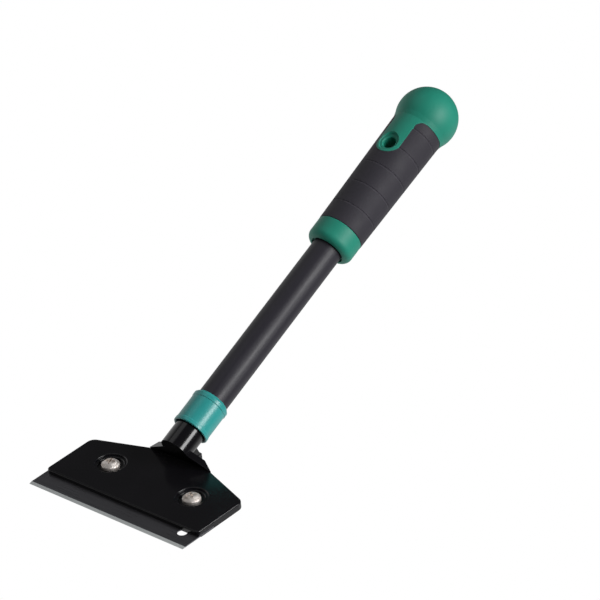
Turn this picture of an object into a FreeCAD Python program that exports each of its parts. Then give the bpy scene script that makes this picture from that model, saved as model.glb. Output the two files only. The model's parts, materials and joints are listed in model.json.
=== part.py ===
import FreeCAD, Part
import os
import Sketcher
from FreeCAD import Placement, Rotation, Vector

# Algae scraper, in millimetres. The shaft stands along Z, with the handle at the top.
# The origin is where the shaft's axis crosses the hang hole, and the front, where the
# screw heads are, faces -Y. The head leans forward under the shaft by headAngle.

sizes = {
    # Head: distances "up" are measured along the plate from the cutting edge.
    "headAngle": 24.0,         # lean of the plate from the shaft, in degrees
    "holeToMeet": 215.7,       # hang hole down to where the shaft's axis meets the blade
    "edgeToMeet": 30.2,        # cutting edge up to that same point
    "bladeWidth": 100.0,
    "bladeDepth": 22.0,
    "bladeThick": 0.6,
    "bevelDepth": 1.7,
    "edgeFlat": 0.08,
    "bladeHoleRadius": 2.5,
    "bladeHoleAcross": 41.0,
    "bladeHoleUp": 9.8,
    "headWidth": 99.0,
    "lipUp": 11.4,             # lower edge of the head
    "shoulderUp": 22.1,        # step that the blade's back rests on
    "sideUp": 43.5,            # where the straight sides end
    "slopeUp": 59.0,           # where the sloping top would meet the web's side
    "flareTop": 64.2,          # end of the flare beside the web
    "faceFront": 2.5,          # front face, measured forward from the blade's middle
    "plateBack": 1.4,          # rear face, measured back from the blade's middle
    "bladeGap": 0.03,
    "lipCorner": 2.2,
    "topCorner": 4.5,
    "flareRadius": 6.4,
    # Screws and their recesses.
    "screwAcross": 26.5,
    "screwUp": 32.5,
    "recessRadius": 7.9,
    "recessStepRadius": 6.4,
    "recessStep": 0.9,
    "recessDepth": 1.9,
    "screwRadius": 2.5,
    "screwHoleRadius": 2.75,
    "screwHeadRadius": 4.6,
    "screwHeadSide": 1.5,
    "screwHeadHeight": 3.2,
    "screwCrownRadius": 2.4,
    "screwReach": 7.0,         # screw's end, measured back from the blade's middle
    "crossLong": 5.0,
    "crossWide": 1.1,
    "crossDeep": 1.7,
    "threadGap": 0.05,
    # Clamp plate and nuts.
    "clampWidth": 92.0,
    "clampLow": 13.2,
    "clampStep": 21.9,
    "clampTop": 42.0,
    "clampBack": 4.4,
    "clampNose": 2.0,
    "clampSlope": 17.0,
    "nutFlats": 8.0,
    "nutThick": 2.7,
    "nutPocket": 1.6,
    "nutGap": 0.05,
    # Neck and spigot.
    "neckRadius": 7.85,
    "neckEndDown": 193.3,      # hang hole down to the neck's flat lower end
    "shoulderDown": 178.8,     # hang hole down to the shoulder that the pipe stands on
    "spigotRadius": 5.97,
    "spigotLength": 30.0,
    "spigotChamfer": 1.0,
    # Pipe, pin, collar and plug.
    "pipeRadius": 8.0,
    "pipeWall": 2.0,
    "pipeEndDown": 11.0,
    "pinRadius": 2.0,
    "pinBore": 1.0,
    "pinDown": 170.5,
    "pinShort": 0.15,
    "pinFit": 0.02,
    "collarDown": 180.4,
    "collarLength": 18.8,
    "collarRadius": 9.3,
    "collarLipRadius": 9.55,
    "collarLipWidth": 1.9,
    "collarEndRadius": 8.5,
    "collarMouthRadius": 8.75,
    "collarTaper": 1.3,
    "collarGap": 0.08,
    "plugFlange": 2.0,
    "plugReach": 14.0,
    "plugFit": 0.02,
    "plugChamfer": 1.0,
    # Handle.
    "ringDown": 62.6,
    "gripDown": 51.0,
    "gripTop": 17.7,
    "ringRadius": 12.5,
    "ringRound": 3.6,
    "ringMouthRadius": 9.1,
    "ringMouthDepth": 1.4,
    "gripLowRadius": 12.6,
    "gripTopRadius": 13.8,
    "coreLowRadius": 10.6,
    "coreTopRadius": 11.4,
    "skinGap": 0.02,
    "ballRadius": 16.0,
    "ballUp": 26.7,
    "ballNeckRadius": 13.9,
    "boreGap": 0.03,
    "tongueHalf": 6.7,
    "tongueProud": 0.15,
    "tongueGap": 0.12,
    "holeRadius": 3.5,
    "holeFlareRadius": 5.6,
    "holeStepRadius": 5.0,     # floor of the shallow recess round the hang hole
    "holeStepDepth": 1.3,
    "holeEdge": 0.5,           # bevel where that floor meets the hole
    "grooveDepth": 0.25,
    "grooveWidth": 1.0,
    "grooveFirst": 10.5,
    "groovePitch": 13.0,
    "grooveCount": 5,
    "lipOverlap": 0.8,
    "recessRound": 0.5,
    "frontRound": 0.7,         # front edge of the head, all round
    "backRound": 0.5,
    "boreLong": 40.0,
    "webHalf": 4.5,            # half the width of the web behind the neck
    "webInset": 0.05,          # each side, so the web's flanks stay just inside the plate's
    "webTopDown": 184.5,       # hang hole down to the web's top at the neck's axis
    "shoulderNear": 7.5,       # half the width of the neck's shoulders at its axis
    "shoulderFar": 24.0,       # and where they run out on the plate
    "shoulderBack": 9.5,
    "shoulderThick": 3.2,
    "shoulderReach": 20.0,
    "tongueCorner": 4.5,       # where the tongue widens into the ball
    "spigotRoot": 4.0,
    "screwTip": 0.6,
    "crownRound": 1.6,
    "shoulderRound": 1.2,
    "crossTurnLeft": 22.0,
    "crossTurnRight": 58.0,
    "clampCorner": 3.0,
    "collarBevel": 0.3,
    "collarMouthDepth": 1.2,
    "throughHandle": 40.0,
    "tongueRoot": 2.0,
    "tongueDeep": 8.0,
    "ballNeckFlare": 0.8,
    "ballNeckTop": 20.4,
    "ringMouthDraft": 0.3,
    "holeRimAt": 13.5,
    "grooveSlope": 0.25,
    "endRound": 0.4,
}

doc = FreeCAD.newDocument("algae_scraper")
sheet = doc.addObject("Spreadsheet::Sheet", "dims")
for row, (word, value) in enumerate(sizes.items(), start=1):
    sheet.set("A" + str(row), word)
    sheet.set("B" + str(row), str(value))
    sheet.setAlias("B" + str(row), word)
doc.recompute()

# Written once here, these expressions place everything that belongs to the head.
headOrigin = "create(<<vector>>; 0; -dims.edgeToMeet * sin(dims.headAngle); " \
             "-dims.holeToMeet - dims.edgeToMeet * cos(dims.headAngle))"
headTurn = "create(<<rotation>>; create(<<vector>>; 1; 0; 0); -dims.headAngle)"
headPlace = "create(<<placement>>; " + headOrigin + "; " + headTurn + ")"
tiny = 1e-3


def plane(body, role):
    return next(f for f in body.Origin.OriginFeatures if f.Role == role)


def newBody(name, place=None):
    body = doc.addObject("PartDesign::Body", name)
    body.Label = name
    if place:
        body.setExpression("Placement", place)
    return body


def newSketch(body, name, role, offset="0", shift="0"):
    # offset moves the sketch along its own normal, shift moves it along its own x
    sketch = body.newObject("Sketcher::SketchObject", name)
    sketch.AttachmentSupport = [(plane(body, role), "")]
    sketch.MapMode = "FlatFace"
    place = "create(<<placement>>; create(<<vector>>; {}; 0; {}); create(<<rotation>>; 0; 0; 0))"
    sketch.setExpression("AttachmentOffset", place.format(shift, offset))
    doc.recompute()
    return sketch


def pin(sketch, geo, point, across, up):
    # ties one point of the sketch to two sheet expressions
    for kind, text in (("DistanceX", across), ("DistanceY", up)):
        value = float(sketch.evalExpression(text))
        if abs(value) < tiny:
            axis = -2 if kind == "DistanceX" else -1
            sketch.addConstraint(Sketcher.Constraint("PointOnObject", geo, point, axis))
            continue
        index = sketch.addConstraint(Sketcher.Constraint(kind, -1, 1, geo, point, value))
        sketch.setExpression("Constraints[{}]".format(index), text)


def outline(sketch, corners):
    # closed outline with straight sides, each corner tied to the sheet
    points = [Vector(float(sketch.evalExpression(a)), float(sketch.evalExpression(b)), 0) for a, b in corners]
    first = None
    for start, end in zip(points, points[1:] + points[:1]):
        geo = sketch.addGeometry(Part.LineSegment(start, end), False)
        first = geo if first is None else first
    last = first + len(points) - 1
    for geo in range(first, last + 1):
        following = first if geo == last else geo + 1
        sketch.addConstraint(Sketcher.Constraint("Coincident", geo, 2, following, 1))
    for geo, (across, up) in zip(range(first, last + 1), corners):
        pin(sketch, geo, 1, across, up)


def ring(sketch, across, up, radius):
    centre = Vector(float(sketch.evalExpression(across)), float(sketch.evalExpression(up)), 0)
    size = float(sketch.evalExpression(radius))
    geo = sketch.addGeometry(Part.Circle(centre, Vector(0, 0, 1), size), False)
    pin(sketch, geo, 3, across, up)
    index = sketch.addConstraint(Sketcher.Constraint("Radius", geo, size))
    sketch.setExpression("Constraints[{}]".format(index), radius)


def pad(body, name, sketch, length, middle=False):
    feature = body.newObject("PartDesign::Pad", name)
    feature.Profile = sketch
    feature.setExpression("Length", length)
    feature.Midplane = middle
    doc.recompute()
    return feature


def pocket(body, name, sketch, length=None, reverse=False):
    before = body.Shape.Volume
    feature = body.newObject("PartDesign::Pocket", name)
    feature.Profile = sketch
    if length:
        feature.setExpression("Length", length)
    else:
        feature.Type = "ThroughAll"
        feature.Midplane = True
    feature.Reversed = reverse
    doc.recompute()
    if body.Shape.Volume > before - tiny:
        raise RuntimeError(name + " cuts nothing")
    return feature


def spin(body, name, sketch, axis, cut=False):
    before = body.Shape.Volume if cut else 0
    feature = body.newObject("PartDesign::Groove" if cut else "PartDesign::Revolution", name)
    feature.Profile = sketch
    feature.ReferenceAxis = (sketch, [axis])
    feature.Angle = 360
    doc.recompute()
    if cut and body.Shape.Volume > before - tiny:
        raise RuntimeError(name + " cuts nothing")
    return feature


def edgesWhere(shape, test):
    return ["Edge" + str(i) for i, edge in enumerate(shape.Edges, start=1) if test(edge)]


def roundEdges(body, name, radius, test):
    base = body.Tip
    names = edgesWhere(base.Shape, test)
    if not names:
        raise RuntimeError(name + " finds no edge")
    feature = body.newObject("PartDesign::Fillet", name)
    feature.Base = (base, names)
    feature.setExpression("Radius", radius)
    doc.recompute()
    return feature


def size(word):
    return float(sheet.get(word))


def circleAt(radius, height):
    # test for the round edges of a turned piece, by radius and height
    def test(edge):
        curve = edge.Curve
        if not isinstance(curve, Part.Circle):
            return False
        return abs(curve.Radius - radius) < 0.01 and abs(curve.Center.z - height) < 0.01
    return test


def upright(across, up):
    # test for edges that run through the head's thickness at a place on its outline
    def test(edge):
        box = edge.BoundBox
        if box.YLength < 0.5 or box.XLength > tiny or box.ZLength > tiny:
            return False
        return abs(abs(box.Center.x) - across) < 0.01 and abs(box.Center.z - up) < 0.01
    return test


def rimAt(radius, depth):
    # test for the round edges of the head's screw recesses, by radius and depth
    def test(edge):
        curve = edge.Curve
        if not isinstance(curve, Part.Circle):
            return False
        return abs(curve.Radius - radius) < 0.01 and abs(curve.Center.y - depth) < 0.01
    return test


def facingEdge(depth):
    # test for the outline of the head's front or rear face, but for the step above the blade
    def test(edge):
        box = edge.BoundBox
        flat = box.YLength < tiny and abs(box.YMax - depth) < 0.01
        onStep = box.ZLength < tiny and abs(box.ZMax - size("shoulderUp")) < 0.01
        return flat and not onStep
    return test


def turned(name, corners, place=None):
    # body turned about Z from a half section given as radius and height
    body = newBody(name, place)
    sketch = newSketch(body, name + "_section", "XZ_Plane")
    outline(sketch, corners)
    spin(body, name + "_turn", sketch, "V_Axis")
    return body


def makeBlade():
    body = newBody("blade", headPlace)
    section = newSketch(body, "blade_section", "YZ_Plane")
    half = "dims.bladeThick / 2"
    outline(section, [(half, "0"), (half, "dims.bladeDepth"), ("-" + half, "dims.bladeDepth"),
                      ("-" + half, "dims.bevelDepth"), (half + " - dims.edgeFlat", "0")])
    pad(body, "blade_strip", section, "dims.bladeWidth", middle=True)
    hole = newSketch(body, "blade_hole_place", "XZ_Plane")
    ring(hole, "dims.bladeHoleAcross", "dims.bladeHoleUp", "dims.bladeHoleRadius")
    pocket(body, "blade_hole", hole)
    return body


def bothScrews(sketch, radius):
    for side in ("-", ""):
        ring(sketch, side + "dims.screwAcross", "dims.screwUp", radius)


def makeHeadPlate():
    # flat part of the head: thick above the blade's back, a thinner lip over the blade
    body = newBody("head_plate", headPlace)
    side = "dims.headWidth / 2"
    flank = "dims.webHalf"
    upper = newSketch(body, "plate_outline", "XZ_Plane", "-dims.plateBack")
    right = [(side, "dims.shoulderUp"), (side, "dims.sideUp"),
             (flank, "dims.slopeUp"), (flank, "dims.flareTop")]
    outline(upper, right + [("-" + across, up) for across, up in reversed(right)])
    pad(body, "plate_upper", upper, "dims.plateBack + dims.faceFront")
    lipBack = "dims.bladeThick / 2 + dims.bladeGap"
    lip = newSketch(body, "lip_outline", "XZ_Plane", lipBack)
    lipEdge = [(side, "dims.lipUp"), (side, "dims.shoulderUp + dims.lipOverlap")]
    outline(lip, lipEdge + [("-" + across, up) for across, up in reversed(lipEdge)])
    pad(body, "plate_lip", lip, "dims.faceFront - (" + lipBack + ")")
    roundEdges(body, "lip_corners", "dims.lipCorner", upright(size("headWidth") / 2, size("lipUp")))
    roundEdges(body, "top_corners", "dims.topCorner", upright(size("headWidth") / 2, size("sideUp")))
    roundEdges(body, "neck_flares", "dims.flareRadius", upright(size("webHalf"), size("slopeUp")))
    roundEdges(body, "front_edges", "dims.frontRound", facingEdge(-size("faceFront")))
    roundEdges(body, "back_edges", "dims.backRound", facingEdge(size("plateBack")))
    rim = newSketch(body, "recess_rim", "XZ_Plane", "dims.faceFront")
    bothScrews(rim, "dims.recessRadius")
    pocket(body, "recess_outer", rim, "dims.recessStep")
    seat = newSketch(body, "recess_seat", "XZ_Plane", "dims.faceFront")
    bothScrews(seat, "dims.recessStepRadius")
    pocket(body, "recess_inner", seat, "dims.recessDepth")
    holes = newSketch(body, "screw_holes_place", "XZ_Plane")
    bothScrews(holes, "dims.screwHoleRadius")
    pocket(body, "screw_holes", holes)
    front = -size("faceFront")
    step = front + size("recessStep")
    roundEdges(body, "recess_rounding", "dims.recessRound", rimAt(size("recessRadius"), front))
    roundEdges(body, "step_rounding", "dims.recessRound", rimAt(size("recessStepRadius"), step))
    return body


def inHead(across, back, up, turn="create(<<rotation>>; 0; 0; 0)"):
    # placement of a piece whose own origin is at a place in the head
    spot = "create(<<vector>>; {}; {}; {})".format(across, back, up)
    return headPlace + " * create(<<placement>>; " + spot + "; " + turn + ")"


def solid(kind, name, place, **lengths):
    # Part primitive with its sizes and its placement tied to the sheet
    piece = doc.addObject("Part::" + kind, name)
    for word, text in lengths.items():
        piece.setExpression(word, text)
    piece.setExpression("Placement", place)
    return piece


def joinAll(name, pieces):
    joined = doc.addObject("Part::MultiFuse", name)
    joined.Shapes = pieces
    joined.Refine = True
    joined.Label = name
    return joined


def combine(kind, name, base, tool):
    result = doc.addObject("Part::" + kind, name)
    result.Base = base
    result.Tool = tool
    result.Refine = True
    result.Label = name
    return result


def placeAt(across, back, up):
    spot = "create(<<vector>>; {}; {}; {})".format(across, back, up)
    return "create(<<placement>>; " + spot + "; create(<<rotation>>; 0; 0; 0))"


def makeHeadCasting():
    plate = makeHeadPlate()
    # The neck is round, and its lower end is flat and square to the shaft.
    stem = solid("Cylinder", "neck_stem", placeAt("0", "0", "-dims.neckEndDown"),
                 Radius="dims.neckRadius", Height="dims.neckEndDown - dims.shoulderDown")
    # The web joins the neck's back to the plate. Both of its ends lie nearly square to the shaft.
    web = newBody("neck_web", headPlace)
    section = newSketch(web, "web_section", "YZ_Plane")
    drop = "(dims.holeToMeet - dims.neckEndDown)"
    rise = "(dims.holeToMeet - dims.webTopDown)"
    back = "-{} * sin(dims.headAngle)"
    up = "dims.edgeToMeet + {} * cos(dims.headAngle)"
    outline(section, [(back.format(drop), up.format(drop)),
                      ("0", "dims.edgeToMeet + " + drop + " / cos(dims.headAngle)"),
                      ("0", "dims.flareTop"), (back.format(rise), up.format(rise))])
    pad(web, "web_block", section, "2 * (dims.webHalf - dims.webInset)", middle=True)
    shoulders = combine("Common", "neck_shoulders", *makeShoulders())
    spigot = turned("neck_spigot", [
        ("0", "-dims.shoulderDown - dims.spigotRoot"),
        ("dims.spigotRadius", "-dims.shoulderDown - dims.spigotRoot"),
        ("dims.spigotRadius", "-dims.shoulderDown + dims.spigotLength - dims.spigotChamfer"),
        ("dims.spigotRadius - dims.spigotChamfer", "-dims.shoulderDown + dims.spigotLength"),
        ("0", "-dims.shoulderDown + dims.spigotLength")])
    blank = joinAll("head_blank", [plate, stem, web, shoulders, spigot])
    return combine("Cut", "head_casting", blank, crossBore("spigot_bore"))


def makeShoulders():
    # wings that spread the neck's flat end out to the plate, and the plate's outline that they stop at
    wings = newBody("shoulder_wings")
    plan = newSketch(wings, "shoulder_plan", "XY_Plane", "-dims.neckEndDown")
    corners = [("dims.shoulderNear", "0"), ("dims.shoulderFar", "dims.shoulderBack")]
    outline(plan, corners + [("-" + across, back) for across, back in reversed(corners)])
    pad(wings, "shoulder_block", plan, "dims.shoulderThick")
    limit = newBody("shoulder_limit", headPlace)
    edge = newSketch(limit, "shoulder_outline", "XZ_Plane")
    right = [("dims.headWidth / 2", "dims.shoulderUp"), ("dims.headWidth / 2", "dims.sideUp"),
             ("dims.webHalf", "dims.slopeUp")]
    outline(edge, right + [("-" + across, up) for across, up in reversed(right)])
    pad(limit, "shoulder_limit_block", edge, "dims.shoulderReach")
    return wings, limit


def crossBore(name):
    # the pin's hole, which runs along X through the pipe and the spigot
    sideways = "create(<<rotation>>; create(<<vector>>; 0; 1; 0); 90)"
    spot = "create(<<vector>>; -dims.boreLong / 2; 0; -dims.pinDown)"
    return solid("Cylinder", name, "create(<<placement>>; " + spot + "; " + sideways + ")",
                 Radius="dims.pinRadius + dims.pinFit", Height="dims.boreLong")


def makeScrew(side, sign, clock):
    name = "clamp_screw_" + side
    seat = "-(dims.faceFront - dims.recessDepth)"
    outward = ("create(<<rotation>>; create(<<vector>>; 1; 0; 0); 90)"
               " * create(<<rotation>>; create(<<vector>>; 0; 0; 1); " + clock + ")")
    place = inHead(sign + "dims.screwAcross", seat, "dims.screwUp", outward)
    reach = "-(dims.screwReach + dims.faceFront - dims.recessDepth)"
    body = turned(name, [
        ("0", reach), ("dims.screwRadius - dims.screwTip", reach),
        ("dims.screwRadius", reach + " + dims.screwTip"), ("dims.screwRadius", "0"),
        ("dims.screwHeadRadius", "0"), ("dims.screwHeadRadius", "dims.screwHeadSide"),
        ("dims.screwCrownRadius", "dims.screwHeadHeight"), ("0", "dims.screwHeadHeight")], place)
    crown = circleAt(size("screwCrownRadius"), size("screwHeadHeight"))
    shoulder = circleAt(size("screwHeadRadius"), size("screwHeadSide"))
    roundEdges(body, name + "_crown", "dims.crownRound", crown)
    roundEdges(body, name + "_shoulder", "dims.shoulderRound", shoulder)
    cross = newSketch(body, name + "_cross", "XY_Plane", "dims.screwHeadHeight")
    tip = "dims.crossLong / 2"
    half = "dims.crossWide / 2"
    arm = [(tip, "-" + half), (tip, half), (half, half)]
    corners = []
    for quarter in range(4):
        for x, y in arm:
            corners.append((x, y))
        arm = [(flip(y), x) for x, y in arm]
    outline(cross, corners)
    pocket(body, name + "_recess", cross, "dims.crossDeep")
    return body


def flip(text):
    return text[1:] if text.startswith("-") else "-" + text


def hexagon(sketch, across, up, flats):
    corners = []
    for corner in range(6):
        x = "{} + ({}) / 2 / cos(30) * cos({})".format(across, flats, 60 * corner)
        y = "{} + ({}) / 2 / cos(30) * sin({})".format(up, flats, 60 * corner)
        corners.append((x, y))
    outline(sketch, corners)


def makeClampPlate():
    body = newBody("clamp_plate", headPlace)
    section = newSketch(body, "clamp_section", "YZ_Plane")
    grip = "dims.bladeThick / 2 + dims.bladeGap"
    rest = "dims.plateBack + dims.bladeGap"
    outline(section, [(grip, "dims.clampLow"), (grip, "dims.clampStep"), (rest, "dims.clampStep"),
                      (rest, "dims.clampTop"), ("dims.clampBack", "dims.clampTop"),
                      ("dims.clampBack", "dims.clampSlope"), ("dims.clampNose", "dims.clampLow")])
    pad(body, "clamp_bar", section, "dims.clampWidth", middle=True)
    roundEdges(body, "clamp_corners", "dims.clampCorner", upright(size("clampWidth") / 2, size("clampTop")))
    holes = newSketch(body, "clamp_holes_place", "XZ_Plane")
    bothScrews(holes, "dims.screwHoleRadius")
    pocket(body, "clamp_holes", holes)
    for side, sign in (("left", "-"), ("right", "")):
        seat = newSketch(body, "nut_seat_" + side, "XZ_Plane", "-dims.clampBack")
        hexagon(seat, sign + "dims.screwAcross", "dims.screwUp", "dims.nutFlats + 2 * dims.nutGap")
        pocket(body, "nut_pocket_" + side, seat, "dims.nutPocket", reverse=True)
    return body


def makeNut(side, sign):
    name = "clamp_nut_" + side
    bottom = "-(dims.clampBack - dims.nutPocket + dims.nutThick)"
    body = newBody(name, headPlace)
    sketch = newSketch(body, name + "_hexagon", "XZ_Plane", bottom)
    hexagon(sketch, sign + "dims.screwAcross", "dims.screwUp", "dims.nutFlats")
    ring(sketch, sign + "dims.screwAcross", "dims.screwUp", "dims.screwRadius + dims.threadGap")
    pad(body, name + "_pad", sketch, "dims.nutThick")
    return body


def makePipe():
    bore = "dims.pipeRadius - dims.pipeWall"
    tube = turned("pipe_tube", [(bore, "-dims.shoulderDown"), ("dims.pipeRadius", "-dims.shoulderDown"),
                                ("dims.pipeRadius", "-dims.pipeEndDown"), (bore, "-dims.pipeEndDown")])
    return combine("Cut", "pipe", tube, crossBore("pipe_bore"))


def makeSpigotPin():
    body = newBody("spigot_pin")
    sketch = newSketch(body, "pin_section", "YZ_Plane")
    ring(sketch, "0", "-dims.pinDown", "dims.pinRadius")
    ring(sketch, "0", "-dims.pinDown", "dims.pinBore")
    pad(body, "pin_pad", sketch, "2 * (dims.pipeRadius - dims.pinShort)", middle=True)
    return body


def makeCollar():
    low = "-dims.collarDown"
    top = "-dims.collarDown + dims.collarLength"
    bore = "dims.pipeRadius + dims.collarGap"
    bevel = "dims.collarBevel"
    return turned("pipe_collar", [
        ("dims.collarMouthRadius", low), ("dims.collarLipRadius - " + bevel, low),
        ("dims.collarLipRadius", low + " + " + bevel),
        ("dims.collarLipRadius", low + " + dims.collarLipWidth"),
        ("dims.collarRadius", low + " + dims.collarLipWidth + " + bevel),
        ("dims.collarRadius", top + " - dims.collarTaper - dims.collarLipWidth - " + bevel),
        ("dims.collarLipRadius", top + " - dims.collarTaper - dims.collarLipWidth"),
        ("dims.collarLipRadius", top + " - dims.collarTaper"),
        ("dims.collarEndRadius", top), (bore, top), (bore, low + " + dims.collarMouthDepth")])


def makePlug():
    face = "-dims.pipeEndDown"
    shank = "dims.pipeRadius - dims.pipeWall - dims.plugFit"
    foot = face + " - dims.plugReach"
    return turned("tube_plug", [
        ("0", foot), (shank + " - dims.plugChamfer", foot), (shank, foot + " + dims.plugChamfer"),
        (shank, face), ("dims.pipeRadius", face), ("dims.pipeRadius", face + " + dims.plugFlange"),
        ("0", face + " + dims.plugFlange")])


def gripRadius(height, low, top):
    # radius of the handle's taper at a height, between the ring and the ball
    share = "(({}) + dims.gripDown) / (dims.gripDown + dims.gripTop)".format(height)
    return "{0} + ({1} - {0}) * {2}".format(low, top, share)


def tongueLimit(name, extra):
    # upright slot with a round lower end about the hang hole, widening at its top, right through the handle
    halfWide = "(dims.tongueHalf + " + extra + ")"
    turn = "create(<<rotation>>; create(<<vector>>; 1; 0; 0); 90)"
    spot = "create(<<placement>>; create(<<vector>>; {}; dims.throughHandle / 2; {}); " + turn + ")"
    cornerUp = "dims.gripTop - dims.tongueCorner"
    end = solid("Cylinder", name + "_end", spot.format("0", "0"),
                Radius=halfWide, Height="dims.throughHandle")
    straight = solid("Box", name + "_side", placeAt("-" + halfWide, "-dims.throughHandle / 2", "0"),
                     Length="2 * " + halfWide, Width="dims.throughHandle",
                     Height="dims.gripTop + dims.tongueRoot")
    wide = "(" + halfWide + " + dims.tongueCorner)"
    flare = solid("Box", name + "_flare", placeAt("-" + wide, "-dims.throughHandle / 2", cornerUp),
                  Length="2 * " + wide, Width="dims.throughHandle", Height="dims.tongueCorner")
    rounds = [solid("Cylinder", name + "_corner_" + side, spot.format(sign + wide, cornerUp),
                    Radius="dims.tongueCorner", Height="dims.throughHandle")
              for side, sign in (("left", "-"), ("right", ""))]
    hollow = combine("Cut", name + "_widening", flare, joinAll(name + "_corners", rounds))
    return joinAll(name, [end, straight, hollow])


def makeHandleCore():
    stem = newBody("handle_stem")
    section = newSketch(stem, "stem_section", "XZ_Plane")
    outline(section, [
        ("0", "-dims.ringDown"), ("dims.ringRadius", "-dims.ringDown"), ("dims.ringRadius", "-dims.gripDown"),
        ("dims.coreLowRadius", "-dims.gripDown"), ("dims.coreTopRadius", "dims.gripTop"),
        ("dims.ballNeckRadius", "dims.gripTop"),
        ("dims.ballNeckRadius + dims.ballNeckFlare", "dims.ballNeckTop"),
        ("dims.coreTopRadius", "dims.ballUp"), ("0", "dims.ballUp")])
    spin(stem, "stem_turn", section, "V_Axis")
    roundEdges(stem, "ring_front", "dims.ringRound", circleAt(size("ringRadius"), -size("ringDown")))
    roundEdges(stem, "ring_back", "dims.endRound", circleAt(size("ringRadius"), -size("gripDown")))
    # The ball is cut flat where the sleeve ends, so that it doesn't reach down under the sleeve.
    flat = "-asin((dims.ballUp - dims.gripTop) / dims.ballRadius)"
    ball = solid("Sphere", "ball", placeAt("0", "0", "dims.ballUp"), Radius="dims.ballRadius", Angle1=flat)
    proud = "(dims.gripTopRadius + dims.tongueProud)"
    proudLow = "(dims.gripLowRadius + dims.tongueProud)"
    cone = turned("tongue_cone", [
        ("0", "-dims.tongueDeep"), (gripRadius("-dims.tongueDeep", proudLow, proud), "-dims.tongueDeep"),
        (proud, "dims.gripTop"), (proud, "dims.gripTop + dims.tongueRoot"),
        ("0", "dims.gripTop + dims.tongueRoot")])
    tongue = combine("Common", "tongue", cone, tongueLimit("tongue_limit", "0"))
    blank = joinAll("handle_blank", [stem, ball, tongue])
    bore = turned("handle_bore", [
        ("0", "-dims.ringDown"), ("dims.ringMouthRadius", "-dims.ringDown"),
        ("dims.ringMouthRadius - dims.ringMouthDraft", "-dims.ringDown + dims.ringMouthDepth"),
        ("dims.pipeRadius + dims.boreGap", "-dims.ringDown + dims.ringMouthDepth"),
        ("dims.pipeRadius + dims.boreGap", "-dims.pipeEndDown + dims.plugFlange + dims.boreGap"),
        ("0", "-dims.pipeEndDown + dims.plugFlange + dims.boreGap")])
    forward = "create(<<placement>>; create(<<vector>>; 0; 0; 0); " \
              "create(<<rotation>>; create(<<vector>>; 1; 0; 0); 90))"
    rimOut = "dims.holeRimAt"
    floorOut = rimOut + " - dims.holeStepDepth"
    half = [("dims.holeRadius", floorOut + " - dims.holeEdge"), ("dims.holeRadius + dims.holeEdge", floorOut),
            ("dims.holeStepRadius", floorOut), ("dims.holeFlareRadius", rimOut),
            ("dims.holeFlareRadius", "dims.throughHandle / 2")]
    mouths = [(r, "-(" + z + ")") for r, z in reversed(half)] + half
    ends = [("0", "-dims.throughHandle / 2"), ("0", "dims.throughHandle / 2")]
    hole = turned("hang_hole", ends[:1] + mouths + ends[1:], forward)
    return combine("Cut", "handle_core", blank, joinAll("handle_cutter", [bore, hole]))


def makeGripSleeve():
    body = newBody("grip_blank")
    section = newSketch(body, "sleeve_section", "XZ_Plane")
    low, top = "dims.gripLowRadius", "dims.gripTopRadius"
    skinLow, skinTop = "(dims.coreLowRadius + dims.skinGap)", "(dims.coreTopRadius + dims.skinGap)"
    corners = [(skinLow, "-dims.gripDown + dims.skinGap"), (low, "-dims.gripDown + dims.skinGap")]
    for count in range(int(size("grooveCount"))):
        start = "-dims.gripDown + dims.grooveFirst + {} * dims.groovePitch".format(count)
        finish = start + " + dims.grooveWidth"
        corners.append((gripRadius(start, low, top), start))
        corners.append((gripRadius(start, low, top) + " - dims.grooveDepth", start + " + dims.grooveSlope"))
        corners.append((gripRadius(finish, low, top) + " - dims.grooveDepth", finish + " - dims.grooveSlope"))
        corners.append((gripRadius(finish, low, top), finish))
    corners += [(top, "dims.gripTop - dims.skinGap"), (skinTop, "dims.gripTop - dims.skinGap")]
    outline(section, corners)
    spin(body, "sleeve_turn", section, "V_Axis")
    lowEnd = circleAt(size("gripLowRadius"), size("skinGap") - size("gripDown"))
    topEnd = circleAt(size("gripTopRadius"), size("gripTop") - size("skinGap"))
    roundEdges(body, "sleeve_ends", "dims.endRound", lambda edge: lowEnd(edge) or topEnd(edge))
    return combine("Cut", "grip_sleeve", body, tongueLimit("sleeve_window", "dims.tongueGap"))


nodes = [makeBlade(), makeHeadCasting(), makeClampPlate(), makePipe(), makeSpigotPin()]
nodes += [makeCollar(), makePlug(), makeHandleCore(), makeGripSleeve()]
for side, sign, clock in (("left", "-", "dims.crossTurnLeft"), ("right", "", "dims.crossTurnRight")):
    nodes.append(makeScrew(side, sign, clock))
    nodes.append(makeNut(side, sign))
doc.recompute()

for thing in doc.Objects:
    if "Invalid" in thing.State or "Error" in thing.State:
        raise RuntimeError(thing.Name + " failed")
os.makedirs("parts", exist_ok=True)
for node in nodes:
    shape = node.Shape
    if shape.isNull() or not shape.isValid() or len(shape.Solids) != 1:
        raise RuntimeError(node.Label + " isn't one valid solid")
    shape.exportStep("parts/" + node.Label + ".step")
    print(node.Label, round(shape.Volume / 1000, 2), "cm3")
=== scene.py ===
import bpy
import json
import math
from mathutils import Matrix, Vector


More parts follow.
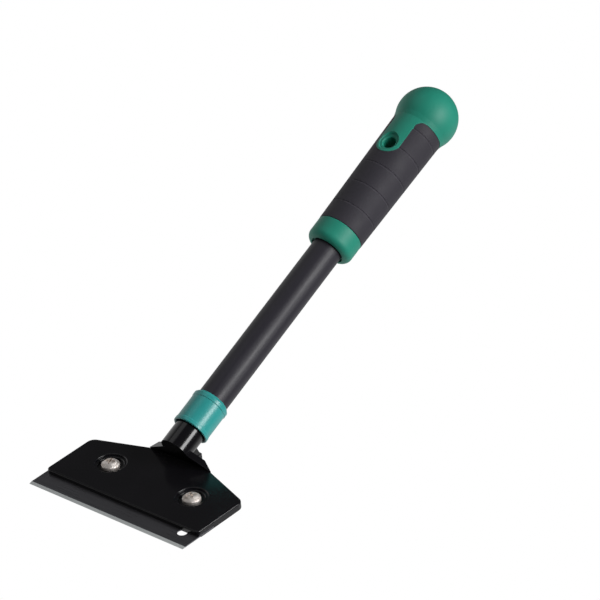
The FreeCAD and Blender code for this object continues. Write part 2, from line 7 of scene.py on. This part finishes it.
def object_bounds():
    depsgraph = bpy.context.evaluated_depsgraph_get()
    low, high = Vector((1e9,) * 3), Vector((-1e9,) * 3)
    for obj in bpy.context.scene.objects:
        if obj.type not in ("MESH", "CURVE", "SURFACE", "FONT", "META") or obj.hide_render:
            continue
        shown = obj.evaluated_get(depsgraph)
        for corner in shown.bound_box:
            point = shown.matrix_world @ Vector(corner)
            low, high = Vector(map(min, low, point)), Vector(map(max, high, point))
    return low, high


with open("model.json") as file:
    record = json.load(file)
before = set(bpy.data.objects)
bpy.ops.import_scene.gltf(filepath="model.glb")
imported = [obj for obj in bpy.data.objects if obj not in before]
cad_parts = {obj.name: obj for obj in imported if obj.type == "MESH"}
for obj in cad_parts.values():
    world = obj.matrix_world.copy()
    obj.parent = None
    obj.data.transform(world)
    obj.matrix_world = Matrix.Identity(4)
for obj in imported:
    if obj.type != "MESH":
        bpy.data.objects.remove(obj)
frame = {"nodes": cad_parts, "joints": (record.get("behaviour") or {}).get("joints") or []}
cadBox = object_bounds()
nodes = frame["nodes"]
joints = {joint["name"]: joint for joint in frame["joints"]}
towardsHandle = -Vector(joints["blade_slide"]["axis"])   # up the head plate, away from the cutting edge
mm = 0.001   # the scene is in metres
print("frame loaded:", len(nodes), "nodes")


def linearColour(hexCode):
    channels = [int(hexCode[i:i + 2], 16) / 255 for i in (1, 3, 5)]
    return tuple(c / 12.92 if c <= 0.04045 else ((c + 0.055) / 1.055) ** 2.4 for c in channels) + (1.0,)


def addNode(tree, kind, inputs, **settings):
    # inputs holds plain values or the sockets to link
    node = tree.nodes.new(kind)
    for word, value in settings.items():
        setattr(node, word, value)
    for socket, value in inputs.items():
        if isinstance(value, bpy.types.NodeSocket):
            tree.links.new(value, node.inputs[socket])
        else:
            node.inputs[socket].default_value = value
    return node


def startFinish(name, look):
    # the even values go straight on the shader
    material = bpy.data.materials.new(name)
    material.use_nodes = True
    tree = material.node_tree
    shader = tree.nodes["Principled BSDF"]
    shader.inputs["Metallic"].default_value = look["metallic"]
    if not look["metallic"]:
        shader.inputs["IOR"].default_value = look["ior"]
        shader.inputs["Specular IOR Level"].default_value = look["shine"]
    place = addNode(tree, "ShaderNodeTexCoord", {}).outputs["Object"]
    return material, tree, shader, place


rubbing = {
    "startsAt": 0.99,        # cosine of the turn between a corner and its softened form
    "fullAt": 0.85,
    "samples": 4,
}
noiseLow, noiseHigh = 0.3, 0.7   # nearly all of a noise lies between these


def rubbedEdge(tree, width):
    # 0 on the flats and 1 on the corners that hands and glass rub
    softened = addNode(tree, "ShaderNodeBevel", {"Radius": width}, samples=rubbing["samples"])
    facing = addNode(tree, "ShaderNodeNewGeometry", {})
    same = addNode(tree, "ShaderNodeVectorMath", {
        0: softened.outputs[0], 1: facing.outputs["Normal"]}, operation="DOT_PRODUCT")
    rubbed = addNode(tree, "ShaderNodeMapRange", {
        "Value": same.outputs["Value"], "From Min": rubbing["startsAt"],
        "From Max": rubbing["fullAt"]})
    return rubbed.outputs["Result"]


def finishPiece(nodeName, material):
    for slot in nodes[nodeName].material_slots:
        slot.material = material


# the head: aluminium alloy, die cast and stove enamelled gloss black
# the enamel gives a deep wet shine with a faint orange peel, thinner and greyer on the corners
headEnamel = {
    "colour": "#0b0a0e",
    "thinColour": "#121115",
    "rubbedColour": "#3a3a40",
    "metallic": 0.0,
    "ior": 1.5,
    "shine": 0.5,
    "roughness": (0.13, 0.23),
    "peelSize": 2.2 * mm,    # between the ripples of the enamel
    "peelDepth": 0.006 * mm,
    "peelDetail": 1.0,
    "cloudSize": 18 * mm,
    "cloudDetail": 4.0,
    "edgeWidth": 0.4 * mm,
}


def enamelHead():
    look = headEnamel
    material, tree, shader, place = startFinish("gloss_black_enamel", look)
    clouds = addNode(tree, "ShaderNodeTexNoise", {
        "Vector": place, "Scale": 1 / look["cloudSize"], "Detail": look["cloudDetail"]})
    paint = addNode(tree, "ShaderNodeMix", {
        "Factor": clouds.outputs["Fac"], "A": linearColour(look["colour"]),
        "B": linearColour(look["thinColour"])}, data_type="RGBA")
    edge = rubbedEdge(tree, look["edgeWidth"])
    patchy = addNode(tree, "ShaderNodeMath", {0: edge, 1: clouds.outputs["Fac"]}, operation="MULTIPLY")
    worn = addNode(tree, "ShaderNodeMix", {
        "Factor": patchy.outputs[0], "A": paint.outputs["Result"],
        "B": linearColour(look["rubbedColour"])}, data_type="RGBA")
    tree.links.new(worn.outputs["Result"], shader.inputs["Base Color"])
    shine = addNode(tree, "ShaderNodeMapRange", {
        "Value": clouds.outputs["Fac"], "To Min": look["roughness"][0],
        "To Max": look["roughness"][1]})
    tree.links.new(shine.outputs["Result"], shader.inputs["Roughness"])
    ripple = addNode(tree, "ShaderNodeTexNoise", {
        "Vector": place, "Scale": 1 / look["peelSize"], "Detail": look["peelDetail"]})
    peel = addNode(tree, "ShaderNodeBump", {
        "Height": ripple.outputs["Fac"], "Distance": look["peelDepth"]})
    tree.links.new(peel.outputs["Normal"], shader.inputs["Normal"])
    return material


# the pipe: mild steel tube, drawn, then coated in satin dark grey
# the coat takes a soft broad highlight, with fine scuffs running along the tube
pipeCoat = {
    "colour": "#28262e",
    "fadedColour": "#323038",
    "metallic": 0.0,
    "ior": 1.5,
    "shine": 0.4,
    "roughness": (0.42, 0.54),
    "grainSize": 0.9 * mm,   # coat grain is really about 0.2 mm, drawn coarser to show
    "grainDepth": 0.006 * mm,
    "grainDetail": 2.0,
    "scuffWidth": 1.2 * mm,
    "scuffLength": 30 * mm,
    "scuffDetail": 3.0,
}


def coatedPipe():
    look = pipeCoat
    material, tree, shader, place = startFinish("satin_coated_steel_tube", look)
    drawn = addNode(tree, "ShaderNodeVectorMath", {
        0: place, 1: (1.0, 1.0, look["scuffWidth"] / look["scuffLength"])}, operation="MULTIPLY")
    scuffs = addNode(tree, "ShaderNodeTexNoise", {
        "Vector": drawn.outputs[0], "Scale": 1 / look["scuffWidth"], "Detail": look["scuffDetail"]})
    coat = addNode(tree, "ShaderNodeMix", {
        "Factor": scuffs.outputs["Fac"], "A": linearColour(look["colour"]),
        "B": linearColour(look["fadedColour"])}, data_type="RGBA")
    tree.links.new(coat.outputs["Result"], shader.inputs["Base Color"])
    shine = addNode(tree, "ShaderNodeMapRange", {
        "Value": scuffs.outputs["Fac"], "From Min": noiseLow, "From Max": noiseHigh,
        "To Min": look["roughness"][0], "To Max": look["roughness"][1]})
    tree.links.new(shine.outputs["Result"], shader.inputs["Roughness"])
    grain = addNode(tree, "ShaderNodeTexNoise", {
        "Vector": place, "Scale": 1 / look["grainSize"], "Detail": look["grainDetail"]})
    coatGrain = addNode(tree, "ShaderNodeBump", {
        "Height": grain.outputs["Fac"], "Distance": look["grainDepth"]})
    tree.links.new(coatGrain.outputs["Normal"], shader.inputs["Normal"])
    return material


# the handle core and the collar: injection moulded ABS in two greens
# moulding leaves a soft even gloss, slow flow clouds in the colour and a fine spark-eroded skin
handlePlastic = {
    "colour": "#208b75",
    "flowColour": "#299680",
    "rubbedColour": "#53ad98",
    "metallic": 0.0,
    "ior": 1.53,
    "shine": 0.33,
    "roughness": (0.46, 0.56),
    "flowSize": 14 * mm,
    "flowDetail": 3.0,
    "flowSwirl": 0.6,
    "skinSize": 0.8 * mm,    # the mould skin is really about 0.1 mm, drawn coarser to show
    "skinDepth": 0.008 * mm,
    "skinDetail": 2.0,
    "edgeWidth": 0.5 * mm,
}
collarPlastic = {
    "colour": "#30a09d",
    "flowColour": "#39aba8",
    "rubbedColour": "#6fc4c2",
    "metallic": 0.0,
    "ior": 1.53,
    "shine": 0.5,
    "roughness": (0.26, 0.36),
    "flowSize": 10 * mm,
    "flowDetail": 3.0,
    "flowSwirl": 0.6,
    "skinSize": 0.8 * mm,
    "skinDepth": 0.006 * mm,
    "skinDetail": 2.0,
    "edgeWidth": 0.4 * mm,
}


def mouldedPlastic(name, look):
    material, tree, shader, place = startFinish(name, look)
    flow = addNode(tree, "ShaderNodeTexNoise", {
        "Vector": place, "Scale": 1 / look["flowSize"], "Detail": look["flowDetail"],
        "Distortion": look["flowSwirl"]})
    plastic = addNode(tree, "ShaderNodeMix", {
        "Factor": flow.outputs["Fac"], "A": linearColour(look["colour"]),
        "B": linearColour(look["flowColour"])}, data_type="RGBA")
    edge = rubbedEdge(tree, look["edgeWidth"])
    patchy = addNode(tree, "ShaderNodeMath", {0: edge, 1: flow.outputs["Fac"]}, operation="MULTIPLY")
    worn = addNode(tree, "ShaderNodeMix", {
        "Factor": patchy.outputs[0], "A": plastic.outputs["Result"],
        "B": linearColour(look["rubbedColour"])}, data_type="RGBA")
    tree.links.new(worn.outputs["Result"], shader.inputs["Base Color"])
    shine = addNode(tree, "ShaderNodeMapRange", {
        "Value": flow.outputs["Fac"], "From Min": noiseLow, "From Max": noiseHigh,
        "To Min": look["roughness"][0], "To Max": look["roughness"][1]})
    tree.links.new(shine.outputs["Result"], shader.inputs["Roughness"])
    skin = addNode(tree, "ShaderNodeTexNoise", {
        "Vector": place, "Scale": 1 / look["skinSize"], "Detail": look["skinDetail"]})
    mouldSkin = addNode(tree, "ShaderNodeBump", {
        "Height": skin.outputs["Fac"], "Distance": look["skinDepth"]})
    tree.links.new(mouldSkin.outputs["Normal"], shader.inputs["Normal"])
    return material


# the grip: thermoplastic rubber moulded over the core
# it is matt and a little dusty, so it shows a broad dull sheen and pale bloom where it is handled
gripRubber = {
    "colour": "#2c2a32",
    "dustColour": "#37343c",
    "rubbedColour": "#47444d",
    "metallic": 0.0,
    "ior": 1.5,
    "shine": 0.4,
    "roughness": (0.62, 0.76),
    "sheen": 0.05,
    "dustSize": 12 * mm,
    "dustDetail": 5.0,
    "grainSize": 0.9 * mm,   # the real grain is about 0.3 mm, drawn coarser to show
    "grainDepth": 0.03 * mm,
    "edgeWidth": 0.6 * mm,
}


def mouldedRubber():
    look = gripRubber
    material, tree, shader, place = startFinish("charcoal_moulded_rubber", look)
    shader.inputs["Sheen Weight"].default_value = look["sheen"]
    dust = addNode(tree, "ShaderNodeTexNoise", {
        "Vector": place, "Scale": 1 / look["dustSize"], "Detail": look["dustDetail"]})
    grain = addNode(tree, "ShaderNodeTexVoronoi", {"Vector": place, "Scale": 1 / look["grainSize"]})
    rubber = addNode(tree, "ShaderNodeMix", {
        "Factor": dust.outputs["Fac"], "A": linearColour(look["colour"]),
        "B": linearColour(look["dustColour"])}, data_type="RGBA")
    edge = rubbedEdge(tree, look["edgeWidth"])
    worn = addNode(tree, "ShaderNodeMix", {
        "Factor": edge, "A": rubber.outputs["Result"],
        "B": linearColour(look["rubbedColour"])}, data_type="RGBA")
    tree.links.new(worn.outputs["Result"], shader.inputs["Base Color"])
    shine = addNode(tree, "ShaderNodeMapRange", {
        "Value": dust.outputs["Fac"], "From Min": noiseLow, "From Max": noiseHigh,
        "To Min": look["roughness"][0], "To Max": look["roughness"][1]})
    tree.links.new(shine.outputs["Result"], shader.inputs["Roughness"])
    pebble = addNode(tree, "ShaderNodeBump", {
        "Height": grain.outputs["Distance"], "Distance": look["grainDepth"]})
    tree.links.new(pebble.outputs["Normal"], shader.inputs["Normal"])
    return material


# the blade: hardened carbon steel strip, rolled, then its cutting edge ground
# the faces are a dark satin with long rolling lines
# the ground edge is bright, with short lines across it
bladeSteel = {
    "colour": "#8f8f94",
    "cloudColour": "#7d7c82",
    "groundColour": "#dfe3e3",
    "metallic": 1.0,
    "roughness": (0.26, 0.38),
    "groundRoughness": 0.34,
    "groundWidth": 1.7 * mm,  # up from the cutting edge
    "lineLength": 20 * mm,   # rolling lines run along the blade
    "groundLine": 12 * mm,   # grinding lines run across the edge
    "lineWidth": 0.6 * mm,   # the grit lines are really under 0.1 mm wide, drawn coarser to show
    "lineDepth": 0.003 * mm,
    "rollingDetail": 3.0,
    "grindingDetail": 2.0,
}


def rolledBlade():
    look = bladeSteel
    material, tree, shader, place = startFinish("rolled_blade_steel", look)
    cuttingEdge = min(corner.co.dot(towardsHandle) for corner in nodes["blade"].data.vertices)
    height = addNode(tree, "ShaderNodeVectorMath", {
        0: place, 1: towardsHandle}, operation="DOT_PRODUCT")
    ground = addNode(tree, "ShaderNodeMath", {
        0: height.outputs["Value"], 1: cuttingEdge + look["groundWidth"]}, operation="LESS_THAN")
    along = addNode(tree, "ShaderNodeVectorMath", {
        0: place, 1: (look["lineWidth"] / look["lineLength"], 1.0, 1.0)}, operation="MULTIPLY")
    rolling = addNode(tree, "ShaderNodeTexNoise", {
        "Vector": along.outputs[0], "Scale": 1 / look["lineWidth"], "Detail": look["rollingDetail"]})
    shortening = look["lineWidth"] / look["groundLine"]
    across = addNode(tree, "ShaderNodeVectorMath", {
        0: place, 1: (1.0, shortening, shortening)}, operation="MULTIPLY")
    grinding = addNode(tree, "ShaderNodeTexNoise", {
        "Vector": across.outputs[0], "Scale": 1 / look["lineWidth"],
        "Detail": look["grindingDetail"]})
    face = addNode(tree, "ShaderNodeMix", {
        "Factor": rolling.outputs["Fac"], "A": linearColour(look["colour"]),
        "B": linearColour(look["cloudColour"])}, data_type="RGBA")
    steel = addNode(tree, "ShaderNodeMix", {
        "Factor": ground.outputs[0], "A": face.outputs["Result"],
        "B": linearColour(look["groundColour"])}, data_type="RGBA")
    tree.links.new(steel.outputs["Result"], shader.inputs["Base Color"])
    shine = addNode(tree, "ShaderNodeMapRange", {
        "Value": rolling.outputs["Fac"], "From Min": noiseLow, "From Max": noiseHigh,
        "To Min": look["roughness"][0], "To Max": look["roughness"][1]})
    satin = addNode(tree, "ShaderNodeMix", {
        "Factor": ground.outputs[0], "A": shine.outputs["Result"], "B": look["groundRoughness"]})
    tree.links.new(satin.outputs["Result"], shader.inputs["Roughness"])
    lines = addNode(tree, "ShaderNodeMix", {
        "Factor": ground.outputs[0], "A": rolling.outputs["Fac"], "B": grinding.outputs["Fac"]})
    scratches = addNode(tree, "ShaderNodeBump", {
        "Height": lines.outputs["Result"], "Distance": look["lineDepth"]})
    tree.links.new(scratches.outputs["Normal"], shader.inputs["Normal"])
    return material


# the screws and nuts: steel, cold headed, then bright nickel plated
# the plating gives a warm white shine that is broken up by small dings and a little tarnish in the hollows
screwNickel = {
    "colour": "#faf4ef",
    "tarnishColour": "#c9bfb6",
    "metallic": 1.0,
    "roughness": (0.55, 0.70),
    "dingSize": 1.2 * mm,
    "dingDepth": 0.24 * mm,
    "dingDetail": 2.0,
    "tarnishSize": 3 * mm,
    "tarnishDetail": 4.0,
    "stainFrom": 0.45,       # noise where the stain starts, and where it is full
    "stainTo": 0.75,
}
# the clamp plate: pressed steel strip dipped in black paint, thinner and duller than the head's enamel
clampPaint = {
    "colour": "#1a1a1d",
    "tarnishColour": "#2b2a2e",
    "metallic": 0.0,
    "ior": 1.5,
    "shine": 0.5,
    "roughness": (0.30, 0.48),
    "dingSize": 3.0 * mm,
    "dingDepth": 0.01 * mm,
    "dingDetail": 2.0,
    "tarnishSize": 10 * mm,
    "tarnishDetail": 4.0,
    "stainFrom": 0.45,       # noise where the stain starts, and where it is full
    "stainTo": 0.75,
}
# the spring pin and the tube plug: plain turned steel with a film of oil, grey and a little stained
plainSteel = {
    "colour": "#a7a6a4",
    "tarnishColour": "#77726c",
    "metallic": 1.0,
    "roughness": (0.30, 0.46),
    "dingSize": 1.4 * mm,
    "dingDepth": 0.01 * mm,
    "dingDetail": 2.0,
    "tarnishSize": 4 * mm,
    "tarnishDetail": 4.0,
    "stainFrom": 0.45,       # noise where the stain starts, and where it is full
    "stainTo": 0.75,
}


def smallMetalwork(name, look):
    material, tree, shader, place = startFinish(name, look)
    stain = addNode(tree, "ShaderNodeTexNoise", {
        "Vector": place, "Scale": 1 / look["tarnishSize"], "Detail": look["tarnishDetail"]})
    patch = addNode(tree, "ShaderNodeMapRange", {
        "Value": stain.outputs["Fac"], "From Min": look["stainFrom"], "From Max": look["stainTo"]})
    surface = addNode(tree, "ShaderNodeMix", {
        "Factor": patch.outputs["Result"], "A": linearColour(look["colour"]),
        "B": linearColour(look["tarnishColour"])}, data_type="RGBA")
    tree.links.new(surface.outputs["Result"], shader.inputs["Base Color"])
    shine = addNode(tree, "ShaderNodeMapRange", {
        "Value": stain.outputs["Fac"], "From Min": noiseLow, "From Max": noiseHigh,
        "To Min": look["roughness"][0], "To Max": look["roughness"][1]})
    tree.links.new(shine.outputs["Result"], shader.inputs["Roughness"])
    dings = addNode(tree, "ShaderNodeTexNoise", {
        "Vector": place, "Scale": 1 / look["dingSize"], "Detail": look["dingDetail"]})
    dented = addNode(tree, "ShaderNodeBump", {
        "Height": dings.outputs["Fac"], "Distance": look["dingDepth"]})
    tree.links.new(dented.outputs["Normal"], shader.inputs["Normal"])
    return material


finishPiece("head_casting", enamelHead())
finishPiece("pipe", coatedPipe())
finishPiece("handle_core", mouldedPlastic("green_moulded_abs", handlePlastic))
finishPiece("pipe_collar", mouldedPlastic("teal_moulded_abs", collarPlastic))
finishPiece("grip_sleeve", mouldedRubber())
finishPiece("blade", rolledBlade())
nickel = smallMetalwork("bright_nickel_plate", screwNickel)
for fastener in ("clamp_screw_left", "clamp_screw_right", "clamp_nut_left", "clamp_nut_right"):
    finishPiece(fastener, nickel)
finishPiece("clamp_plate", smallMetalwork("black_dipped_paint", clampPaint))
turnedSteel = smallMetalwork("plain_turned_steel", plainSteel)
finishPiece("spigot_pin", turnedSteel)
finishPiece("tube_plug", turnedSteel)
print("finishes on:", ", ".join(sorted(nodes)))


def outwards(azimuth, elevation):
    # degrees round from the front, and up
    around, above = math.radians(azimuth), math.radians(elevation)
    level = math.cos(above)
    return Vector((math.sin(around) * level, -math.cos(around) * level, math.sin(above)))


# the camera looks up at the scraper from below its right front corner
shot = {
    "azimuth": 39.69,        # degrees
    "elevation": -21.41,
    "roll": 37.13,
    "distance": 1.924,       # metres
    "offCentre": (0.0118, -0.0075, 0.0029),
    "lens": 237.5,           # millimetres
    "sensor": 36,
    "nearest": 0.05,         # metres
    "farthest": 20,
}


def placeCamera():
    around, roll = math.radians(shot["azimuth"]), math.radians(shot["roll"])
    middle = (cadBox[0] + cadBox[1]) / 2
    back = outwards(shot["azimuth"], shot["elevation"])
    level = Vector((math.cos(around), math.sin(around), 0))
    right = level * math.cos(roll) + back.cross(level) * math.sin(roll)
    upwards = back.cross(right)
    lens = bpy.data.cameras.new("shot")
    lens.lens = shot["lens"]
    lens.sensor_width = shot["sensor"]
    lens.clip_start, lens.clip_end = shot["nearest"], shot["farthest"]
    camera = bpy.data.objects.new("shot", lens)
    bpy.context.scene.collection.objects.link(camera)
    turn = Matrix((right, upwards, back)).transposed()
    stand = middle + Vector(shot["offCentre"]) + back * shot["distance"]
    camera.matrix_world = Matrix.Translation(stand) @ turn.to_4x4()
    bpy.context.scene.camera = camera
    return back


towardsCamera = placeCamera()
print("camera placed")


# a tall soft box to the right of the camera, a weak one to its left, and a white room behind the scraper
studio = {
    "keyAzimuth": 72.0,      # degrees round the shaft from the front
    "keyElevation": 22.0,
    "keyDistance": 1.5,
    "keySize": (0.55, 1.3),  # metres
    "keyPower": 23.0,        # watts
    "fillAzimuth": -22.0,
    "fillElevation": 21.0,
    "fillDistance": 1.6,
    "fillSize": (0.9, 1.2),
    "fillPower": 1.9,
    "roomGlow": 0.07,        # light from everywhere
    "wallGlow": 0.70,        # light from the white wall behind, which ends below a dark ceiling
    "wallFrom": -0.15,       # how far round behind the scraper the wall fades in
    "wallTo": 0.25,
    "ceilingFrom": 0.7,      # the ceiling is dark above this, and the wall full below the next
    "ceilingTo": 0.45,
    "backdropColour": "#ffffff",
    "backdropGlow": 1.0,     # what the camera sees behind the scraper
    "floorHalf": 30.0,       # metres
    "floorGlow": 0.68,       # evens the floor to the wall's white, and lights nothing else
    "floorRoughness": 0.7,
    "floorDrop": 0.75,       # metres from the blade down to the floor
    "floorColour": "#eeeeec",
}


def placeSoftBox(name):
    away = outwards(studio[name + "Azimuth"], studio[name + "Elevation"])
    lamp = bpy.data.lights.new(name, "AREA")
    lamp.shape = "RECTANGLE"
    lamp.size, lamp.size_y = studio[name + "Size"]
    lamp.energy = studio[name + "Power"]
    box = bpy.data.objects.new(name, lamp)
    bpy.context.scene.collection.objects.link(box)
    box.location = (cadBox[0] + cadBox[1]) / 2 + away * studio[name + "Distance"]
    box.rotation_euler = away.to_track_quat("Z", "Y").to_euler()


def lightRoom():
    world = bpy.data.worlds.new("white_room")
    bpy.context.scene.world = world
    world.use_nodes = True
    tree = world.node_tree
    tree.nodes.clear()
    direction = addNode(tree, "ShaderNodeTexCoord", {}).outputs["Generated"]
    level = Vector((-towardsCamera.x, -towardsCamera.y, 0)).normalized()
    behind = addNode(tree, "ShaderNodeVectorMath", {0: direction, 1: level}, operation="DOT_PRODUCT")
    wall = addNode(tree, "ShaderNodeMapRange", {
        "Value": behind.outputs["Value"], "From Min": studio["wallFrom"],
        "From Max": studio["wallTo"]})
    height = addNode(tree, "ShaderNodeSeparateXYZ", {0: direction})
    ceiling = addNode(tree, "ShaderNodeMapRange", {
        "Value": height.outputs["Z"], "From Min": studio["ceilingFrom"],
        "From Max": studio["ceilingTo"]})
    lit = addNode(tree, "ShaderNodeMath", {
        0: wall.outputs["Result"], 1: ceiling.outputs["Result"]}, operation="MULTIPLY")
    glow = addNode(tree, "ShaderNodeMapRange", {
        "Value": lit.outputs[0], "To Min": studio["roomGlow"], "To Max": studio["wallGlow"]})
    room = addNode(tree, "ShaderNodeBackground", {"Strength": glow.outputs["Result"]})
    backdrop = addNode(tree, "ShaderNodeBackground", {"Strength": studio["backdropGlow"]})
    for background in (room, backdrop):
        background.inputs["Color"].default_value = linearColour(studio["backdropColour"])
    seen = addNode(tree, "ShaderNodeLightPath", {}).outputs["Is Camera Ray"]
    both = addNode(tree, "ShaderNodeMixShader", {0: seen, 1: room.outputs[0], 2: backdrop.outputs[0]})
    addNode(tree, "ShaderNodeOutputWorld", {"Surface": both.outputs[0]})


def layFloor():
    mesh = bpy.data.meshes.new("floor")
    low = cadBox[0].z - studio["floorDrop"]
    half = studio["floorHalf"]
    corners = [(x * half, y * half, low) for x, y in ((-1, -1), (1, -1), (1, 1), (-1, 1))]
    mesh.from_pydata(corners, [], [(0, 1, 2, 3)])
    floor = bpy.data.objects.new("floor", mesh)
    bpy.context.scene.collection.objects.link(floor)
    material = bpy.data.materials.new("pale_floor")
    material.use_nodes = True
    shader = material.node_tree.nodes["Principled BSDF"]
    shader.inputs["Base Color"].default_value = linearColour(studio["floorColour"])
    shader.inputs["Roughness"].default_value = studio["floorRoughness"]
    shader.inputs["Emission Color"].default_value = linearColour(studio["floorColour"])
    shader.inputs["Emission Strength"].default_value = studio["floorGlow"]
    mesh.materials.append(material)
    # only the camera sees the floor, so its glow doesn't reach the scraper
    floor.visible_diffuse = False
    floor.visible_glossy = False


placeSoftBox("key")
placeSoftBox("fill")
lightRoom()
layFloor()
bpy.context.scene.view_settings.view_transform = "Standard"
print("studio lit")
